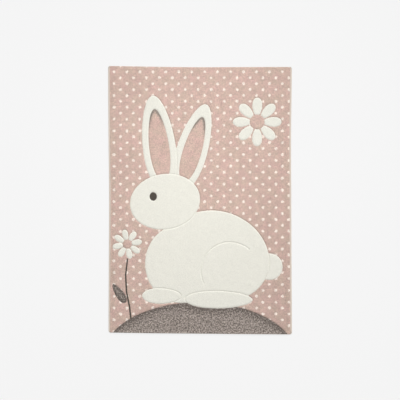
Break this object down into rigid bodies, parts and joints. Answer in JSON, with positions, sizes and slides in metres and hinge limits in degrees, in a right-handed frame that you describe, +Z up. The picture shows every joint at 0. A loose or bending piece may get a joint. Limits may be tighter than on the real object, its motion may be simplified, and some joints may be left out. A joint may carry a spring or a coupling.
{
  "type": "rectangular kids pile rug with a carved rabbit design",
  "caption": "Flat rectangular pile rug for a child's room, pink with small dots and a carved crouching rabbit, daisies and a hill, and with yarn-bound long sides.",
  "frame": {"origin": "on the floor, under the middle of the rug's bounding box", "axes": "+Z up out of the pile, +Y along the rug's length towards the rabbit's ears, +X to the right of the design seen from above"},
  "size_m": [1.1729, 1.7125, 0.012],
  "materials": {
    "pile": "matt cut pile with a faint sheen",
    "binding_yarn": "matt wound yarn"
  },
  "bodies": {
    "root": {"rug_panel": "pile", "binding_left": "binding_yarn", "binding_right": "binding_yarn"}
  },
  "joints": []
}
